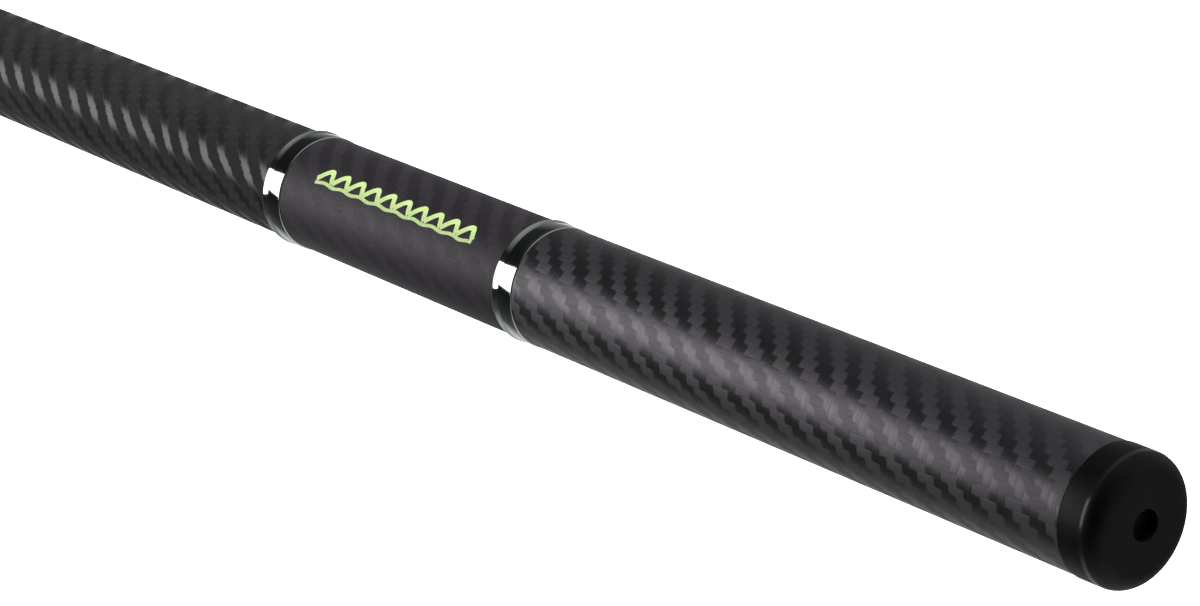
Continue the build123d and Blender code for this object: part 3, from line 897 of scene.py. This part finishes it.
def brace_welds():
    """A ring round each end of each brace: on the socket, and on the mouth bar."""
    seams = []
    top = point(*BRACE_TOP)
    for side in (-1.0, 1.0):
        foot = head_point(BRACE_FOOT[0], side * BRACE_FOOT[1], BRACE_FOOT[2])
        way = (foot - top).normalized()
        across = way.cross(Vector((0.0, 0.0, 1.0))).normalized()
        over = across.cross(way)

        def place_at(angle):
            out = across * math.cos(angle) + over * math.sin(angle)
            start = top + out * BRACE_R * MM
            # The distance along the brace at which it leaves the socket: a quadratic in y and z
            a = way.y**2 + way.z**2
            b = start.y * way.y + start.z * way.z
            c = start.y**2 + start.z**2 - (SOCKET_R * MM) ** 2
            leaves = (-b + math.sqrt(b * b - a * c)) / a
            spot = start + way * leaves
            return spot, (out + Vector((0.0, spot.y, spot.z)).normalized()).normalized()

        seams.append((round_path(place_at, 36), 1.0))

        def foot_at(angle):
            out = across * math.cos(angle) + over * math.sin(angle)
            return foot - way * BRACE_END * MM + out * BRACE_R * MM, (out + HEAD_UP * 0.3).normalized()

        seams.append((round_path(foot_at, 36), 1.0))
    return seams


STITCH, STITCH_PITCH, STITCHES, STITCH_HEIGHT = 14.0, 36.0, 5, 2.2


def bar_welds():
    """Short stitches that hold the mouth bar to the front edge of the deck."""
    seams = []
    for index in range(STITCHES):
        centre = (index - (STITCHES - 1) / 2) * STITCH_PITCH
        ends = (centre + half * STITCH / 2 for half in (-1, 1))
        start, end = (head_point(BAR_ALONG - BAR_R, left, STITCH_HEIGHT) for left in ends)
        seams.append((straight(start, end, HEAD_UP), 1.5))
    return seams


LIP_MIDDLE = 3.2


def lip_welds():
    """The lip's rear edge, round the outside of both bilges and the floor."""
    top = (HALF_WIDTH + BILGE_OUT[0] * LIP_MIDDLE, -SIDE_DEPTH + BILGE_OUT[1] * LIP_MIDDLE - 1.0)
    corner = (HALF_FLOOR + LIP_MIDDLE * 0.44, -DEPTH - LIP_MIDDLE)
    seams = []
    for (left_a, up_a), (left_b, up_b), out in (
        (top, corner, BILGE_OUT),
        (corner, (-corner[0], corner[1]), (0.0, -1.0)),
        ((-corner[0], corner[1]), (-top[0], top[1]), (-BILGE_OUT[0], BILGE_OUT[1])),
    ):
        way = head_way(-0.8, *out)
        start, end = head_point(LIP_START, left_a, up_a), head_point(LIP_START, left_b, up_b)
        seams.append((straight(start, end, way), 2.0))
    return seams


PLATE_FACE, PLATE_TOP, PLATE_HALF_WIDTH = -938.7, -49.0, 60.0
FOOT_GUSSETS, GUSSET_FOOT = (40.0, 44.0), -103.0


def foot_welds():
    """The foot plate's top edge, and its gussets on the plate and on the back."""
    over = Vector((0.5, 0.0, 0.87))
    middle = PLATE_FACE + 1.6
    start, end = (point(middle, y, PLATE_TOP) for y in (-PLATE_HALF_WIDTH, PLATE_HALF_WIDTH))
    seams = [(straight(start, end, over), 2.0)]
    for side in (-1.0, 1.0):
        for y, facing in zip(FOOT_GUSSETS, (-1.0, 1.0)):
            across = Vector((0.0, side * facing, 0.0))
            plate_way = (across - Vector((1.0, 0.0, 0.0))).normalized()
            back_way = (across - TO_MOUTH).normalized()
            top, foot = (point(PLATE_FACE, side * y, z) for z in (PLATE_TOP - 6.0, GUSSET_FOOT))
            seams.append((straight(top, foot, plate_way), 1.4))
            top, foot = (head_point(-SHEET / MM, -side * y, height) for height in (-9.0, -82.0))
            seams.append((straight(top, foot, back_way), 1.4))
    return seams


WELDS = [
    weld_piece("basket_welds", basket_welds()),
    weld_piece("lip_welds", lip_welds()),
    weld_piece("foot_welds", foot_welds()),
    weld_piece("socket_weld", socket_seat_weld()),
    weld_piece("boss_welds", boss_welds()),
    weld_piece("gusset_welds", gusset_welds()),
    weld_piece("brace_welds", brace_welds()),
    weld_piece("bar_welds", bar_welds()),
]


# ---------------------------------------------------------------- floor, world and lights
FLOOR_Z = min(CAD_BOX[0].z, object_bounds()[0].z)
FLOOR_REACH = 60.0
FLOOR_CORNERS = [(-FLOOR_REACH, -FLOOR_REACH), (FLOOR_REACH, -FLOOR_REACH)]
FLOOR_CORNERS += [(FLOOR_REACH, FLOOR_REACH), (-FLOOR_REACH, FLOOR_REACH)]
floor_mesh = bpy.data.meshes.new("floor")
floor_mesh.from_pydata([(x, y, FLOOR_Z) for x, y in FLOOR_CORNERS], [], [(0, 1, 2, 3)])
floor = bpy.data.objects.new("floor", floor_mesh)
bpy.context.scene.collection.objects.link(floor)
floor_paper = Shader("floor_paper")
floor_paper.surface.inputs["Specular IOR Level"].default_value = 0.0
floor_paper.set(
    Base_Color=rgb(0.86),
    Roughness=1.0,
    Emission_Color=rgb(1.0),
    Emission_Strength=0.72,
)
floor_mesh.materials.append(floor_paper.material)
floor.visible_glossy = False
floor.visible_diffuse = False


def add_light(name, kind, toward, energy, place=(0.0, 0.0, 0.0), **settings):
    """A light at a place, shining along a direction."""
    data = bpy.data.lights.new(name, kind)
    data.energy = energy
    for key, value in settings.items():
        setattr(data, key, value)
    light = bpy.data.objects.new(name, data)
    bpy.context.scene.collection.objects.link(light)
    light.location = place
    light.rotation_mode = "QUATERNION"
    light.rotation_quaternion = Vector(toward).to_track_quat("-Z", "Y")
    light.visible_camera = False
    return light


# A broad soft source from above and behind, with no reflection of its own
overhead = add_light("overhead", "SUN", (-0.10, -0.50, -0.86), 4.8, angle=math.radians(40.0))
overhead.visible_glossy = False

# A long strip on the near side, which draws the bright band along the pole
STRIP_Y, STRIP_LOW, STRIP_HIGH = -0.85, -0.14, 0.56
STRIP_FRONT, STRIP_REAR = -2.3, -0.35
STRIP_RADIANCE = 3.7
strip_height, strip_length = STRIP_HIGH - STRIP_LOW, STRIP_REAR - STRIP_FRONT
add_light(
    "strip",
    "AREA",
    (0.0, 1.0, 0.0),
    STRIP_RADIANCE * math.pi * strip_height * strip_length,
    place=((STRIP_FRONT + STRIP_REAR) / 2, STRIP_Y, (STRIP_LOW + STRIP_HIGH) / 2),
    shape="RECTANGLE",
    size=strip_length,
    size_y=strip_height,
)

# A softbox over the head. It lights only the head, because it would draw a second band along the pole
HEAD_BOX_SIZE, HEAD_BOX_RADIANCE = 0.7, 3.0
HEAD_BOX_PLACE = Vector((-1.05, 0.0, 1.25))
head_box = add_light(
    "head_box",
    "AREA",
    (0.0, 0.0, -1.0),
    HEAD_BOX_RADIANCE * math.pi * HEAD_BOX_SIZE**2,
    place=HEAD_BOX_PLACE,
    shape="SQUARE",
    size=HEAD_BOX_SIZE,
)
lit_by_box = bpy.data.collections.new("lit_by_head_box")
for slot_name in ("tube_steel", "bar_steel", "fastener_steel", "sheet_steel", "liner_plastic"):
    for node_name in SLOT_NODES[slot_name]:
        lit_by_box.objects.link(NODES[node_name])
for piece in WELDS:
    lit_by_box.objects.link(piece)
head_box.light_linking.receiver_collection = lit_by_box

world = bpy.data.worlds.new("studio")
bpy.context.scene.world = world
world.use_nodes = True
world.cycles.sampling_method = "NONE"
w = Shader("studio", world.node_tree)
background = world.node_tree.nodes["Background"]
way_x, way_y, way_z = w.split(w.node("ShaderNodeTexCoord").outputs["Generated"])
turn = w.math("ARCTAN2", way_z, w.math("MULTIPLY", way_y, -1.0))
# Brightness by the angle round the pole, where 0 is the near side and 90 is overhead:
# as seen towards the butt, and towards the head
BUTT_SIDE = [
    (-180, 0.30), (-155, 0.12), (-120, 0.75), (-75, 0.80), (-45, 0.10),
    (-20, 0.02), (50, 0.02), (85, 0.35), (130, 0.45), (180, 0.50),
]
HEAD_SIDE = [
    (-180, 0.7), (-120, 0.7), (-98, 0.4), (-85, 0.10), (-60, 0.04),
    (-20, 0.012), (60, 0.012), (130, 0.03), (180, 0.3),
]


def round_the_pole(levels):
    return w.ramp(w.span(turn, -math.pi, math.pi), [((angle + 180) / 360, level) for angle, level in levels])


toward_head = w.span(way_x, -0.35, -0.72, smooth=True)
gradient = w.blend(toward_head, round_the_pole(BUTT_SIDE), round_the_pole(HEAD_SIDE))
seen = w.node("ShaderNodeLightPath").outputs["Is Camera Ray"]
w.feed(background.inputs["Color"], w.blend(seen, gradient, rgb(1.0)))
